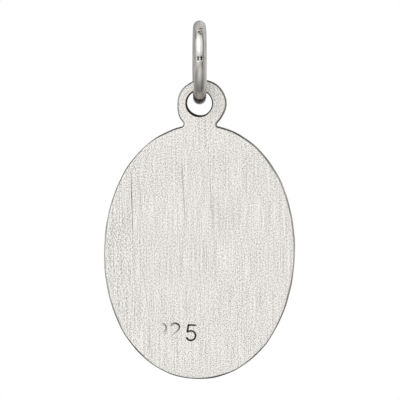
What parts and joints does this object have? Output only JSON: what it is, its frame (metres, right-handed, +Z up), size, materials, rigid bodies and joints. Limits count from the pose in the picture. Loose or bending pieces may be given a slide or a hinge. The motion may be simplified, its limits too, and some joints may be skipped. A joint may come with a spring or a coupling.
{
  "type": "religious medal pendant",
  "caption": "Oval struck silver medal hanging by its lug from a round jump ring; brushed plain back, rimmed front with a rayed cross.",
  "frame": {"origin": "inside top of the jump ring, where the chain or cord that carries it bears", "axes": "+Z up, along the hanging medal; -Y out of the medal's plain back, +Y out of its struck front; +X to the right seen from the back"},
  "size_m": [0.013, 0.0056, 0.0244],
  "materials": {
    "satin_silver": "brushed satin sterling silver with a blackened edge and hole",
    "polished_silver": "polished sterling silver wire"
  },
  "bodies": {
    "hanger": {"jump_ring": "polished_silver"},
    "pendant": {"medal": "satin_silver"}
  },
  "joints": [
    {"name": "medal_swing", "type": "hinge", "parent": "hanger", "child": "pendant", "pos_m": [0, 0, -0.00474], "axis": [0, 1, 0], "range_deg": [-110, 110]}
  ]
}
